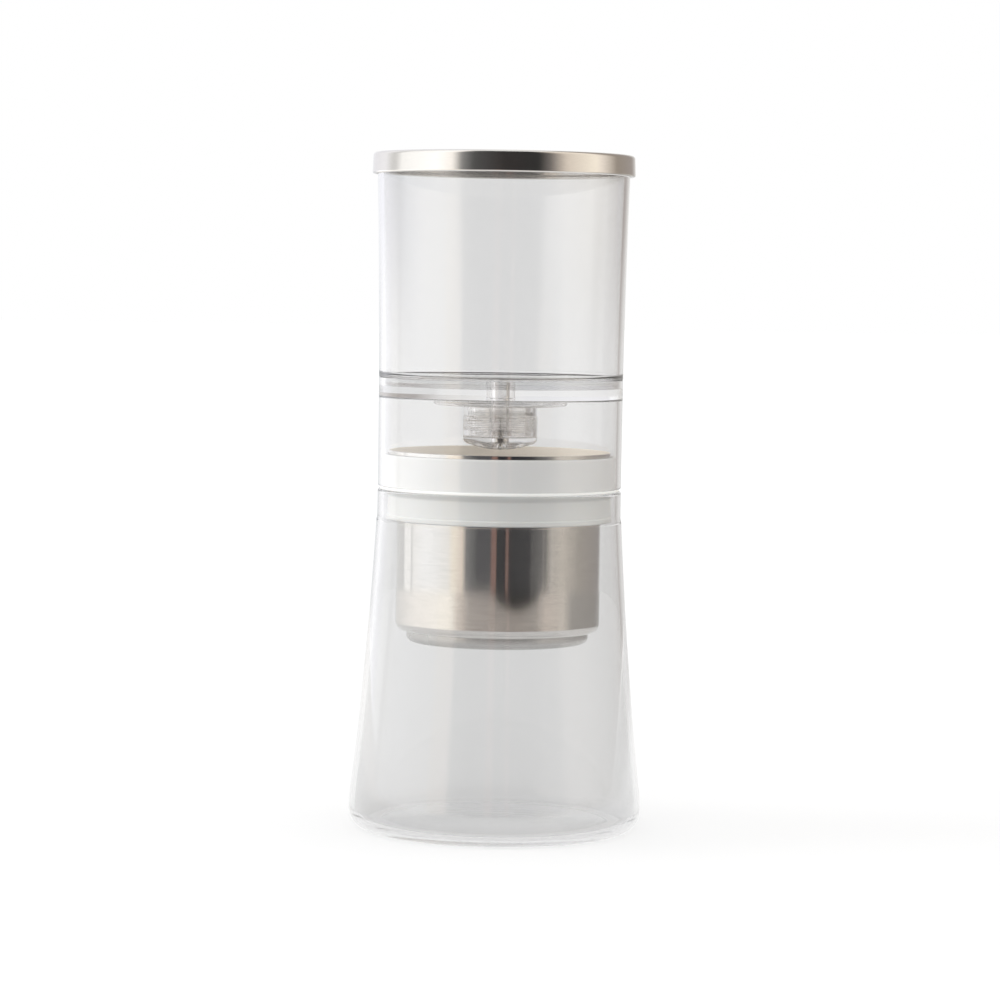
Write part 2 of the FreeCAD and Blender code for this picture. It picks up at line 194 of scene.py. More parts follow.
def add(tree, kind, sockets=None, **settings):
    """A node with its settings made and its sockets linked or set, by name or number."""
    node = tree.nodes.new(kind)
    for setting, value in settings.items():
        setattr(node, setting, value)
    shown = {socket.name: socket for socket in reversed(node.inputs) if socket.enabled}
    for key, value in (sockets or {}).items():
        socket = node.inputs[key] if isinstance(key, int) else shown[key]
        if isinstance(value, bpy.types.NodeSocket):
            tree.links.new(value, socket)
        else:
            socket.default_value = value
    return node


def result(node):
    """The output that a node shows, where it has one of the same name for each data type."""
    return next(socket for socket in node.outputs if socket.enabled)


def maths(tree, operation, first, second=0.0, third=0.0):
    node = add(tree, "ShaderNodeMath", {0: first, 1: second, 2: third}, operation=operation)
    return node.outputs[0]


def object_axes(tree):
    """The shaded point's place in its object, as the outputs X, Y and Z."""
    where = add(tree, "ShaderNodeTexCoord").outputs["Object"]
    return add(tree, "ShaderNodeSeparateXYZ", {0: where}).outputs


def point_axes(tree):
    """The place of a point of the geometry, as the outputs X, Y and Z."""
    where = add(tree, "GeometryNodeInputPosition").outputs[0]
    return add(tree, "ShaderNodeSeparateXYZ", {0: where}).outputs


def off_axis(tree, axes):
    """Distance from Z."""
    across, deep = axes[0], axes[1]
    return maths(tree, "SQRT", maths(
        tree, "ADD", maths(tree, "MULTIPLY", across, across), maths(tree, "MULTIPLY", deep, deep)))


def spread(tree, noise, least, greatest):
    """The usual reach of a noise, 0.3 to 0.7, spread between two values."""
    return add(tree, "ShaderNodeMapRange", {
        "Value": noise, "From Min": 0.3, "From Max": 0.7, "To Min": least, "To Max": greatest,
    }).outputs["Result"]


def bumped(tree, height, depth, normal=None):
    """The normal that shows a height from 0 to 1 as relief of this depth in millimetres."""
    sockets = {"Strength": 1.0, "Distance": depth * MM, "Height": height}
    if normal is not None:
        sockets["Normal"] = normal
    return add(tree, "ShaderNodeBump", sockets).outputs["Normal"]


def mixed(tree, factor, first, second, blend="MIX"):
    """A mix of two colours."""
    return result(add(tree, "ShaderNodeMix", {
        "Factor": factor, "A": first, "B": second,
    }, data_type="RGBA", blend_type=blend))


def grey(tone):
    return (tone, tone, tone, 1)


def new_group(name, kind, sockets):
    """An empty node group with named (way, name, socket kind, value) sockets."""
    tree = bpy.data.node_groups.new(name, kind)
    for way, title, socket_kind, value in sockets:
        socket = tree.interface.new_socket(title, in_out=way, socket_type=socket_kind)
        if value is not None:
            socket.default_value = value
    return tree, tree.nodes.new("NodeGroupInput"), tree.nodes.new("NodeGroupOutput")


def group_node(tree, group, sockets):
    node = add(tree, "ShaderNodeGroup", node_tree=group)
    for socket, value in sockets.items():
        node.inputs[socket].default_value = value
    return node


FLOAT = "NodeSocketFloat"


STREAK_RADIUS = 60.0       # mm, where a streak has the length that is asked for


def brushing_group():
    """Fine lines that run round Z, on walls and on flat tops, with a slow unevenness."""
    tree, given, out = new_group("round_brushing", "ShaderNodeTree", [
        ("INPUT", "Lines per mm", FLOAT, 6.0),
        ("INPUT", "Streak length", FLOAT, 6.0),
        ("OUTPUT", "Lines", FLOAT, None),
        ("OUTPUT", "Unevenness", FLOAT, None),
    ])
    axes = object_axes(tree)
    angle = maths(tree, "ARCTAN2", axes[1], axes[0])
    across = maths(tree, "MULTIPLY", given.outputs["Lines per mm"], 1 / MM)
    long_way = maths(tree, "DIVIDE", STREAK_RADIUS, given.outputs["Streak length"])
    place = add(tree, "ShaderNodeCombineXYZ", {
        0: maths(tree, "MULTIPLY", angle, long_way),
        1: maths(tree, "MULTIPLY", off_axis(tree, axes), across),
        2: maths(tree, "MULTIPLY", axes[2], across),
    })
    lines = add(tree, "ShaderNodeTexNoise", {
        "Vector": place.outputs[0], "Scale": 1.0, "Detail": 3.0, "Roughness": 0.6,
    })
    slow = add(tree, "ShaderNodeTexNoise", {
        "Vector": add(tree, "ShaderNodeTexCoord").outputs["Object"], "Scale": 45.0, "Detail": 2.0,
    })
    tree.links.new(lines.outputs["Fac"], out.inputs["Lines"])
    tree.links.new(slow.outputs["Fac"], out.inputs["Unevenness"])
    return tree


def ripple_group():
    """Slow ripples of blown, drawn or moulded walls, with a finer mottle on top."""
    tree, given, out = new_group("slow_ripple", "ShaderNodeTree", [
        ("INPUT", "Scale", FLOAT, 20.0),
        ("INPUT", "Upright stretch", FLOAT, 1.0),
        ("OUTPUT", "Height", FLOAT, None),
    ])
    across, deep, height = object_axes(tree)
    flat = maths(tree, "DIVIDE", height, given.outputs["Upright stretch"])
    place = add(tree, "ShaderNodeCombineXYZ", {0: across, 1: deep, 2: flat})
    noise = add(tree, "ShaderNodeTexNoise", {
        "Vector": place.outputs[0], "Scale": given.outputs["Scale"],
        "Detail": 1.5, "Roughness": 0.4,
    })
    tree.links.new(noise.outputs["Fac"], out.inputs["Height"])
    return tree


SATIN_ROUGHNESS = 0.5
# Beige of the cup's inside above the seal: a painted warm reflection, not the steel's own colour.
SATIN_PAINTED_REFLECTION = (0.98, 0.90, 0.79)
SATIN_METAL = 0.05         # the rest of the satin scatters light diffusely, as a blasted surface does, so its painted warm tone shows as lit colour
CREST_TONE = 1.04          # of the lines between grooves
ROUGHNESS_REACH = (0.85, 1.2)  # least and greatest part of a steel's roughness
BRUSHING = brushing_group()
RIPPLE = ripple_group()


# ---------------------------------------------------------------- materials

def blank(name):
    finish = bpy.data.materials.new(name)
    finish.use_nodes = True
    finish.node_tree.nodes.clear()
    return finish, finish.node_tree


def clear_finish(name, tint, ior, roughness, ripple_scale, ripple_height, stretch=1.0):
    """Glass or clear plastic, tinted a little. Light for shadows and for soft surfaces
    passes straight through it, so what stands inside is lit as behind real glass."""
    finish, tree = blank(name)
    ripple = group_node(tree, RIPPLE, {"Scale": ripple_scale, "Upright stretch": stretch})
    shader = add(tree, "ShaderNodeBsdfPrincipled", {
        "Base Color": (*tint, 1), "Roughness": roughness, "IOR": ior, "Transmission Weight": 1.0,
        "Normal": bumped(tree, ripple.outputs["Height"], ripple_height),
    })
    path = add(tree, "ShaderNodeLightPath")
    passing = maths(tree, "MAXIMUM", path.outputs["Is Shadow Ray"], path.outputs["Is Diffuse Ray"])
    through_one_face = (*(math.sqrt(part) for part in tint), 1)
    open_way = add(tree, "ShaderNodeBsdfTransparent", {"Color": through_one_face})
    mix = add(tree, "ShaderNodeMixShader", {
        0: passing, 1: shader.outputs[0], 2: open_way.outputs[0],
    })
    add(tree, "ShaderNodeOutputMaterial", {"Surface": mix.outputs[0]})
    return finish


def steel_finish(name, colour, roughness, lines_per_mm, line_height, streak, ripple_height,
                 anisotropic, satin=None, groove_tone=0.88):
    """Stainless steel with lines round Z, darker in the grooves, and slow ripples. Inside the
    first radius and above the second height of satin, it is left blasted: rough, nearly non-metal,
    and painted beige as a warm reflection, not the steel's own colour."""
    finish, tree = blank(name)
    brush = group_node(tree, BRUSHING, {"Lines per mm": lines_per_mm, "Streak length": streak})
    ripple = group_node(tree, RIPPLE, {"Scale": 38.0, "Upright stretch": 2.5})
    shade = add(tree, "ShaderNodeVectorMath", {
        0: colour, "Scale": spread(tree, brush.outputs["Lines"], groove_tone, CREST_TONE),
    }, operation="SCALE").outputs["Vector"]
    least, greatest = (roughness * part for part in ROUGHNESS_REACH)
    gloss = spread(tree, brush.outputs["Unevenness"], least, greatest)
    grooves = bumped(tree, brush.outputs["Lines"], line_height)
    round_z = add(tree, "ShaderNodeTangent", direction_type="RADIAL", axis="Z")
    shader = add(tree, "ShaderNodeBsdfPrincipled", {
        "Base Color": shade, "Metallic": 1.0, "Roughness": gloss,
        "Anisotropic": anisotropic, "Anisotropic Rotation": 0.25,
        "Normal": bumped(tree, ripple.outputs["Height"], ripple_height, grooves),
        "Tangent": round_z.outputs[0],
    })
    surface = shader.outputs[0]
    if satin:
        axes = object_axes(tree)
        inside = maths(tree, "LESS_THAN", off_axis(tree, axes), satin[0] * MM)
        above = maths(tree, "GREATER_THAN", axes[2], satin[1] * MM)
        # Rough, nearly non-metal surface whose beige colour is a painted warm reflection.
        painted_warm_satin = add(tree, "ShaderNodeBsdfPrincipled", {
            "Base Color": (*SATIN_PAINTED_REFLECTION, 1), "Metallic": SATIN_METAL, "Roughness": SATIN_ROUGHNESS,
        })
        surface = add(tree, "ShaderNodeMixShader", {
            0: maths(tree, "MULTIPLY", inside, above), 1: surface, 2: painted_warm_satin.outputs[0],
        }).outputs[0]
    add(tree, "ShaderNodeOutputMaterial", {"Surface": surface})
    return finish


def soft_finish(name, colour, roughness, grain_scale, grain_height, subsurface):
    """White moulded plastic or silicone: even colour with a fine moulded grain."""
    finish, tree = blank(name)
    where = add(tree, "ShaderNodeTexCoord").outputs["Object"]
    grain = add(tree, "ShaderNodeTexNoise", {"Vector": where, "Scale": grain_scale, "Detail": 4.0})
    slow = add(tree, "ShaderNodeTexNoise", {"Vector": where, "Scale": 30.0, "Detail": 2.0})
    shade = add(tree, "ShaderNodeVectorMath", {
        0: colour, "Scale": spread(tree, slow.outputs["Fac"], 0.98, 1.01),
    }, operation="SCALE")
    shader = add(tree, "ShaderNodeBsdfPrincipled", {
        "Base Color": shade.outputs["Vector"], "Roughness": roughness, "IOR": 1.46,
        "Subsurface Weight": subsurface, "Subsurface Radius": (1.0, 0.9, 0.8),
        "Subsurface Scale": 0.8 * MM,
        "Normal": bumped(tree, grain.outputs["Fac"], grain_height),
    })
    add(tree, "ShaderNodeOutputMaterial", {"Surface": shader.outputs[0]})
    return finish


BOROSILICATE = clear_finish(
    "borosilicate_glass", (0.82, 0.82, 0.82), ior=1.47, roughness=0.0,
    ripple_scale=26.0, ripple_height=0.010, stretch=3.0)
TANK_PLASTIC = clear_finish(
    "clear_tank_plastic", (0.90, 0.90, 0.90), ior=1.54, roughness=0.0,
    ripple_scale=30.0, ripple_height=0.005, stretch=3.0)
SKIRT_PLASTIC = clear_finish(
    "clear_skirt_plastic", (0.885, 0.885, 0.885), ior=1.54, roughness=0.0,
    ripple_scale=30.0, ripple_height=0.005, stretch=3.0)
VALVE_PLASTIC = clear_finish(
    "clear_valve_plastic", (1.0, 0.995, 0.99), ior=1.5, roughness=0.015,
    ripple_scale=90.0, ripple_height=0.002)
CLEAR_SILICONE = clear_finish(
    "clear_silicone", (0.88, 0.88, 0.87), ior=1.41, roughness=0.18,
    ripple_scale=300.0, ripple_height=0.01)
LID_STEEL = steel_finish(
    "brushed_lid_steel", (0.73, 0.71, 0.68), roughness=0.15, lines_per_mm=8.0,
    line_height=0.0015, streak=3.0, ripple_height=0.01, anisotropic=0.6, groove_tone=0.95)
CUP_STEEL = steel_finish(
    "drawn_cup_steel", (0.81, 0.79, 0.76), roughness=0.045, lines_per_mm=9.0,
    line_height=0.0004, streak=9.0, ripple_height=0.03, anisotropic=0.3,
    satin=(reach("basket_cup") - 0.25, high("neck_seal")))
RING_STEEL = steel_finish(
    "pressed_filter_steel", (0.68, 0.67, 0.65), roughness=0.24, lines_per_mm=7.0,
    line_height=0.004, streak=4.0, ripple_height=0.03, anisotropic=0.4)
WHITE_PLASTIC = soft_finish(
    "white_collar_plastic", (0.84, 0.835, 0.82), roughness=0.36,
    grain_scale=900.0, grain_height=0.004, subsurface=0.15)
WHITE_SILICONE = soft_finish(
    "white_seal_silicone", (0.895, 0.895, 0.87), roughness=0.5,
    grain_scale=1400.0, grain_height=0.006, subsurface=0.3)


# ---------------------------------------------------------------- carafe

GLASS_WALL = 2.2
CORNER = 8.0
HEEL_HEIGHT = 17.0
HEEL_DRAW_IN = 0.52
SHOULDER = 52.35
SHOULDER_HEIGHT = 132.0
NECK = 51.95
NECK_BOTTOM = 134.0
SHOULDER_ROUND = 1.5
RIM_ROUND = 1.05
FLARE_BOW = 0.91
FLARE_STEPS = 28
HEEL_BOW = 0.12
INNER_HEEL_BOW = 0.08
HEEL_STEPS = 5
CORNER_END = 0.5           # straight wall kept above a rounded corner
FOOT_INNER = 48.7
FOOT_ROUND = 2.0
PUSH_UP = 1.4
PUSH_UP_STEPS = 8
GLASS_FLOOR = 3.6
INNER_CORNER = 5.2


def carafe():
    base, rim = reach("carafe"), high("carafe")
    heel = (base - HEEL_DRAW_IN, HEEL_HEIGHT)
    neck_foot = (SHOULDER, SHOULDER_HEIGHT)
    corner_end = (base, CORNER + CORNER_END)
    inside = base - GLASS_WALL
    inner_foot = (SHOULDER - GLASS_WALL, SHOULDER_HEIGHT)
    inner_heel = (heel[0] - GLASS_WALL, HEEL_HEIGHT)
    inner_end = (inside, GLASS_FLOOR + INNER_CORNER + CORNER_END)
    turned_piece("carafe_glass", [
        (0, PUSH_UP),
        *bowed((0, PUSH_UP), (FOOT_INNER, 0), -PUSH_UP / 4, PUSH_UP_STEPS),
        (FOOT_INNER, 0, FOOT_ROUND),
        (base, 0, CORNER),
        corner_end,
        *bowed(corner_end, heel, HEEL_BOW, HEEL_STEPS),
        heel,
        *bowed(heel, neck_foot, -FLARE_BOW, FLARE_STEPS),
        (*neck_foot, SHOULDER_ROUND),
        (NECK, NECK_BOTTOM, SHOULDER_ROUND),
        (NECK, rim, RIM_ROUND),
        (NECK - GLASS_WALL, rim, RIM_ROUND),
        (NECK - GLASS_WALL, NECK_BOTTOM, SHOULDER_ROUND),
        (*inner_foot, SHOULDER_ROUND),
        *bowed(inner_foot, inner_heel, FLARE_BOW, FLARE_STEPS),
        inner_heel,
        *bowed(inner_heel, inner_end, -INNER_HEEL_BOW, HEEL_STEPS),
        inner_end,
        (inside, GLASS_FLOOR, INNER_CORNER),
        (0, GLASS_FLOOR + PUSH_UP / 2),
    ], "carafe", BOROSILICATE, "glass", "carafe")


# ---------------------------------------------------------------- collar, seal and cup

SEAL_RADIUS = 47.7
SEAL_INNER = 45.95
FLANGE_THICKNESS = 1.3
LIP_RADIUS = 49.4
LIP_HEIGHT = 10.6
LIP_SLOPE = 1.6
BEAD_RADIUS = 48.1
BEAD_HEIGHT = 2.2
BEAD_SLOPE = 0.4
KEY_RADIUS = 46.7
KEY_HEIGHT = 4.2
KEY_WIDTH = 1.6
FIT = 0.05
SPIGOT_BORE = 47.5
CUP_BORE = 43.8
LEDGE = 1.3
CUP_RADIUS = 43.6
CUP_CORNER = 3.5
CUP_SHEET = 0.5
FILTER_OPENING = 34.5


def neck_seal():
    foot, top = low("neck_seal"), high("neck_seal")
    flange = top - FLANGE_THICKNESS
    lip = foot + LIP_HEIGHT
    key = foot + KEY_HEIGHT
    wide = reach("neck_seal")
    turned_piece("neck_seal_sleeve", [
        (SEAL_INNER, foot, 0.2),
        (BEAD_RADIUS, foot, 0.7),
        (BEAD_RADIUS, foot + BEAD_HEIGHT, 0.2),
        (SEAL_RADIUS, foot + BEAD_HEIGHT + BEAD_SLOPE, 0.2),
        (SEAL_RADIUS, lip, 1.5),
        (LIP_RADIUS, lip + LIP_SLOPE, 0.5),
        (LIP_RADIUS, flange, 0.2),
        (wide, flange, 0.35),
        (wide, top, 0.35),
        (SEAL_INNER, top),
        (SEAL_INNER, key + KEY_WIDTH),
        (KEY_RADIUS, key + KEY_WIDTH),
        (KEY_RADIUS, key),
        (SEAL_INNER, key),
    ], "basket", WHITE_SILICONE, "white_silicone", "neck_seal")


def collar():
    foot, top = low("collar"), high("collar")
    flange = high("neck_seal")
    plug = SEAL_INNER - FIT
    key = foot + KEY_HEIGHT + FIT
    key_top = foot + KEY_HEIGHT + KEY_WIDTH - FIT
    wide = reach("collar")
    turned_piece("collar_moulding", [
        (CUP_BORE, foot, 0.4),
        (plug, foot, 0.2),
        (plug, key),
        (KEY_RADIUS - FIT, key),
        (KEY_RADIUS - FIT, key_top),
        (plug, key_top),
        (plug, flange),
        (wide, flange, 0.3),
        (wide, top, 0.8),
        (SPIGOT_BORE, top, 0.8),
        (SPIGOT_BORE, flange + LEDGE, 0.4),
        (CUP_BORE, flange + LEDGE, 0.4),
    ], "basket", WHITE_PLASTIC, "white_plastic", "collar")


def basket_cup():
    foot, top = low("basket_cup"), high("basket_cup")
    shelf = high("neck_seal") + LEDGE
    wide = reach("basket_cup")
    turned_piece("coffee_cup", [
        (FILTER_OPENING, foot),
        (CUP_RADIUS, foot, CUP_CORNER),
        (CUP_RADIUS, shelf, 0.15),
        (wide, shelf, 0.8),
        (wide, top, 0.2),
        (wide - CUP_SHEET, top, 0.2),
        (wide - CUP_SHEET, shelf + CUP_SHEET, 0.3),
        (CUP_RADIUS - CUP_SHEET, shelf + CUP_SHEET, 0.65),
        (CUP_RADIUS - CUP_SHEET, foot + CUP_SHEET, CUP_CORNER - CUP_SHEET),
        (FILTER_OPENING, foot + CUP_SHEET),
    ], "basket", CUP_STEEL, "polished_steel", "basket_cup")


# ---------------------------------------------------------------- filter

FILTER_SHEET = 0.6
FILTER_CORNER = 2.5
FILTER_LIP = 33.0
WIRE = 0.16
WIRE_PITCH = 0.8
WIRE_SIDES = 6
CROSSING = 0.9             # of a wire's thickness, from one layer of wires to the other
LEAST_CHORD = 1e-8         # m2, so that no root of a negative number is taken at the rim


def realized(tree, geometry, given, out):
    """Ends a tree: real geometry in the finish that the tree is given."""
    real = add(tree, "GeometryNodeRealizeInstances", {0: geometry})
    dressed = add(tree, "GeometryNodeSetMaterial", {
        "Geometry": real.outputs[0], "Material": given.outputs["Finish"],
    })
    tree.links.new(dressed.outputs[0], out.inputs[0])
    return tree


def filter_ring():
    foot, top, wide = low("filter_ring"), high("filter_ring"), reach("filter_ring")
    turned_piece("filter_ring_pressing", [
        (FILTER_LIP, foot, 0.2),
        (wide, foot, FILTER_CORNER),
        (wide, top),
        (wide - FILTER_SHEET, top),
        (wide - FILTER_SHEET, foot + FILTER_SHEET, FILTER_CORNER - FILTER_SHEET),
        (FILTER_LIP, foot + FILTER_SHEET, 0.2),
    ], "basket", RING_STEEL, "satin_steel", "filter_ring")


def woven_tree():
    """Geometry Nodes: wires side by side, each cut to the chord of a round disc, both ways."""
    tree, given, out = new_group("woven_disc", "GeometryNodeTree", [
        ("INPUT", "Radius", FLOAT, 0.036),
        ("INPUT", "Pitch", FLOAT, 0.0008),
        ("INPUT", "Wire", FLOAT, 0.00016),
        ("INPUT", "Height", FLOAT, 0.0),
        ("INPUT", "Finish", "NodeSocketMaterial", None),
        ("OUTPUT", "Geometry", "NodeSocketGeometry", None),
    ])
    radius, pitch = given.outputs["Radius"], given.outputs["Pitch"]
    wire, height = given.outputs["Wire"], given.outputs["Height"]
    half_count = maths(tree, "FLOOR", maths(tree, "DIVIDE", radius, pitch))
    count = maths(tree, "ADD", maths(tree, "MULTIPLY", half_count, 2.0), 1.0)
    first = maths(tree, "MULTIPLY", maths(tree, "MULTIPLY", half_count, pitch), -1.0)
    joined = add(tree, "GeometryNodeJoinGeometry")
    for way in (0, 1):
        level = maths(tree, "ADD", height, maths(tree, "MULTIPLY", wire, CROSSING * way))
        start = add(tree, "ShaderNodeCombineXYZ", {0: first, 2: level})
        step = add(tree, "ShaderNodeCombineXYZ", {0: pitch})
        row = add(tree, "GeometryNodeMeshLine", {
            "Count": count, "Start Location": start.outputs[0], "Offset": step.outputs[0],
        }, mode="OFFSET")
        across = point_axes(tree)[0]
        gap = maths(tree, "MAXIMUM", maths(
            tree, "SUBTRACT", maths(tree, "MULTIPLY", radius, radius),
            maths(tree, "MULTIPLY", across, across)), LEAST_CHORD)
        chord = maths(tree, "MULTIPLY", maths(tree, "SQRT", gap), 2.0)
        rod = add(tree, "GeometryNodeMeshCylinder", {
            "Vertices": WIRE_SIDES, "Side Segments": 1,
            "Radius": maths(tree, "MULTIPLY", wire, 0.5), "Depth": 1.0,
        }, fill_type="NGON")
        size = add(tree, "ShaderNodeCombineXYZ", {0: 1.0, 1: 1.0, 2: chord})
        wires = add(tree, "GeometryNodeInstanceOnPoints", {
            "Points": row.outputs["Mesh"], "Instance": rod.outputs["Mesh"],
            "Rotation": (math.radians(90), 0, 0), "Scale": size.outputs[0],
        })
        turned = add(tree, "GeometryNodeTransform", {
            "Geometry": wires.outputs[0], "Rotation": (0, 0, math.radians(90 * way)),
        })
        tree.links.new(turned.outputs[0], joined.inputs[0])
    return realized(tree, joined.outputs[0], given, out)


def grown(name, tree, values, base=None):
    """The plain mesh that a Geometry Nodes tree makes with these named inputs."""
    holder = in_scene(name, base or bpy.data.meshes.new(name + "_seed"))
    growth = holder.modifiers.new("growth", "NODES")
    growth.node_group = tree
    for socket in tree.interface.items_tree:
        if socket.in_out == "INPUT" and socket.name in values:
            growth[socket.identifier] = values[socket.name]
    shown = holder.evaluated_get(bpy.context.evaluated_depsgraph_get())
    mesh = bpy.data.meshes.new_from_object(shown)
    mesh.name = name
    bpy.data.objects.remove(holder)
    return mesh


def filter_mesh():
    mesh = grown("filter_weave", woven_tree(), {
        "Radius": reach("filter_mesh") * MM, "Pitch": WIRE_PITCH * MM, "Wire": WIRE * MM,
        "Height": (low("filter_mesh") + WIRE / 2) * MM, "Finish": RING_STEEL,
    })
    piece("filter_weave", mesh, "basket", RING_STEEL, "steel_mesh", "filter_mesh")


# ---------------------------------------------------------------- tank and skirt

TANK_WALL = 2.3
TANK_FLOOR = 4.0
TANK_CORNER = 2.0
TANK_BOW = 0.27
TANK_STEPS = 16
TANK_RIM_ROUND = 0.9
FLOOR_FALL = 0.5
REBATE = 3.6
REBATE_RADIUS = 49.6
JOINT_RADIUS = 52.05
OUTLET = 4.0
SEAM = 0.35
AIR_GAP = 0.1              # left between clear faces that lie on each other
BOND = 0.02                # overlap of clear walls that pass light as one
SKIRT_BORE = 49.8
SKIRT_DRAW_IN = 0.15
WEB = 4.4


def water_tank():
    foot, top, wide = low("water_tank"), high("water_tank"), reach("water_tank")
    seam = foot + REBATE
    inner_rim = (wide - TANK_WALL, top)
    inner_foot = (JOINT_RADIUS - TANK_WALL, foot + TANK_FLOOR)
    turned_piece("water_tank_moulding", [
        (OUTLET, foot + AIR_GAP, 0.15),
        (REBATE_RADIUS, foot + AIR_GAP, 0.15),
        (REBATE_RADIUS, seam),
        (JOINT_RADIUS, seam, SEAM),
        *bowed((JOINT_RADIUS, seam + SEAM), (wide, top), -TANK_BOW, TANK_STEPS),
        (wide, top, TANK_RIM_ROUND),
        (*inner_rim, TANK_RIM_ROUND),
        *bowed(inner_rim, inner_foot, TANK_BOW, TANK_STEPS)[:-1],
        (*inner_foot, TANK_CORNER),
        (OUTLET, foot + TANK_FLOOR - FLOOR_FALL, 0.3),
    ], "tank", TANK_PLASTIC, "clear_plastic", "water_tank")


def tank_skirt():
    foot, top = low("tank_skirt"), high("tank_skirt")
    web = top - REBATE
    turned_piece("skirt_moulding", [
        (SKIRT_BORE, foot, 0.3),
        (reach("tank_skirt") - SKIRT_DRAW_IN, foot, 0.4),
        (reach("tank_skirt"), top, SEAM),
        (REBATE_RADIUS + 2 * FIT, top),
        (REBATE_RADIUS + 2 * FIT, web),
        (OUTLET, web, 0.3),
        (OUTLET, web - WEB, 0.3),
        (SKIRT_BORE, web - WEB, 0.8),
    ], "tank", SKIRT_PLASTIC, "clear_plastic", "tank_skirt")


# ---------------------------------------------------------------- valve

VALVE_FLANGE_THICKNESS = 3.6
GASKET_WIDTH = 2.1
THREAD_RADIUS = 13.2
THREAD_BORE = 11.0
THREAD_DEPTH = 12.5
THREAD_PITCH = 1.5
THREAD_HEIGHT = 0.33
THREAD_STEP = 0.125        # mm between the corners of a wall that carries a thread
THREAD_FLANK = (0.18, 0.32)  # of a turn from the groove's middle, where the flank starts and ends
THREAD_FADE = 0.6          # turns over which the thread runs out at each end
WALL_REACH = 0.05          # mm off its wall within which a point takes the thread
NIPPLE = OUTLET + BOND
WATER_BORE = 2.6
SEAT_TUBE = 5.0
SEAT_TUBE_SHORTER = 0.4
SEAT_RADIUS = 3.4
SEAT_HEIGHT = 3.0
RING_SECTION = 0.7
RING_HEIGHT = 9.1
RING_GROOVE = 12.5
KNOB_NECK = 4.2
KNOB_NECK_RADIUS = 15.6
KNOB_CORNER = 2.5
KNOB_BORE = 13.9
KNOB_LAND = 14.0
KNOB_LAND_DEPTH = 5.2
KNOB_FLOOR = 5.5
RELIEF = 14.25
RELIEF_HEIGHT = 8.7
CROWN_HEIGHT = 2.4
FLUTES = 8
FLUTE_RADIUS = 3.2
FLUTE_CIRCLE = 13.4
FLUTE_HEIGHT = 3.3
FLUTE_SWEEP = 1.8          # how soon a flute's end runs out to its full height
CROWN_STEPS = 24
CORNER_BOW = 0.29          # of the corner's size, which makes it round
CORNER_STEPS = 8
HEAD_RADIUS = 2.5
HEAD_HEIGHT = 2.4


def evenly(start, end):
    """Corners along a straight wall, close enough together to carry a thread."""
    (r0, z0), (r1, z1) = start, end
    count = round(abs(z1 - z0) / THREAD_STEP)
    return [
        (r0 + (r1 - r0) * number / count, z0 + (z1 - z0) * number / count)
        for number in range(1, count)
    ]


def thread_tree():
    """Geometry Nodes: raises a screw thread on the wall of one radius, between two heights."""
    tree, given, out = new_group("screw_thread", "GeometryNodeTree", [
        ("INPUT", "Geometry", "NodeSocketGeometry", None),
        ("INPUT", "Wall radius", FLOAT, 0.0132),
        ("INPUT", "Lowest", FLOAT, 0.0),
        ("INPUT", "Highest", FLOAT, 0.0),
        ("INPUT", "Pitch", FLOAT, 0.0015),
        ("INPUT", "Rise", FLOAT, 0.0005),
        ("INPUT", "Shift", FLOAT, 0.0),
        ("INPUT", "Finish", "NodeSocketMaterial", None),
        ("OUTPUT", "Geometry", "NodeSocketGeometry", None),
    ])
    axes = point_axes(tree)
    across, deep, height = axes
    pitch = given.outputs["Pitch"]
    turn = maths(tree, "DIVIDE", maths(tree, "ARCTAN2", deep, across), 2 * math.pi)
    climb = maths(tree, "SUBTRACT", maths(tree, "DIVIDE", height, pitch), turn)
    phase = maths(tree, "FRACT", maths(tree, "ADD", climb, given.outputs["Shift"]))
    lift = add(tree, "ShaderNodeMapRange", {
        "Value": maths(tree, "PINGPONG", phase, 0.5),
        "From Min": THREAD_FLANK[0], "From Max": THREAD_FLANK[1],
    }, interpolation_type="SMOOTHSTEP").outputs["Result"]
    lift = maths(tree, "MULTIPLY", lift, maths(
        tree, "COMPARE", off_axis(tree, axes), given.outputs["Wall radius"], WALL_REACH * MM))
    for above, below in ((height, given.outputs["Lowest"]), (given.outputs["Highest"], height)):
        clear_of = maths(tree, "DIVIDE", maths(tree, "SUBTRACT", above, below), pitch)
        full = add(tree, "ShaderNodeMapRange", {
            "Value": clear_of, "From Min": 0.0, "From Max": THREAD_FADE,
        })
        lift = maths(tree, "MULTIPLY", lift, full.outputs["Result"])
    outward = add(tree, "ShaderNodeVectorMath", {
        0: add(tree, "ShaderNodeCombineXYZ", {0: across, 1: deep}).outputs[0],
    }, operation="NORMALIZE")
    push = add(tree, "ShaderNodeVectorMath", {
        0: outward.outputs[0], "Scale": maths(tree, "MULTIPLY", lift, given.outputs["Rise"]),
    }, operation="SCALE")
    moved = add(tree, "GeometryNodeSetPosition", {
        "Geometry": given.outputs["Geometry"], "Offset": push.outputs[0],
    })
    return realized(tree, moved.outputs[0], given, out)


THREAD = thread_tree()


def threaded(name, mesh, wall, lowest, highest, rise, shift=0.0):
    """The turned mesh with a thread on one of its walls. shift is in turns."""
    return grown(name, THREAD, {
        "Wall radius": wall * MM, "Lowest": lowest * MM, "Highest": highest * MM,
        "Pitch": THREAD_PITCH * MM, "Rise": rise * MM, "Shift": shift, "Finish": VALVE_PLASTIC,
    }, mesh)


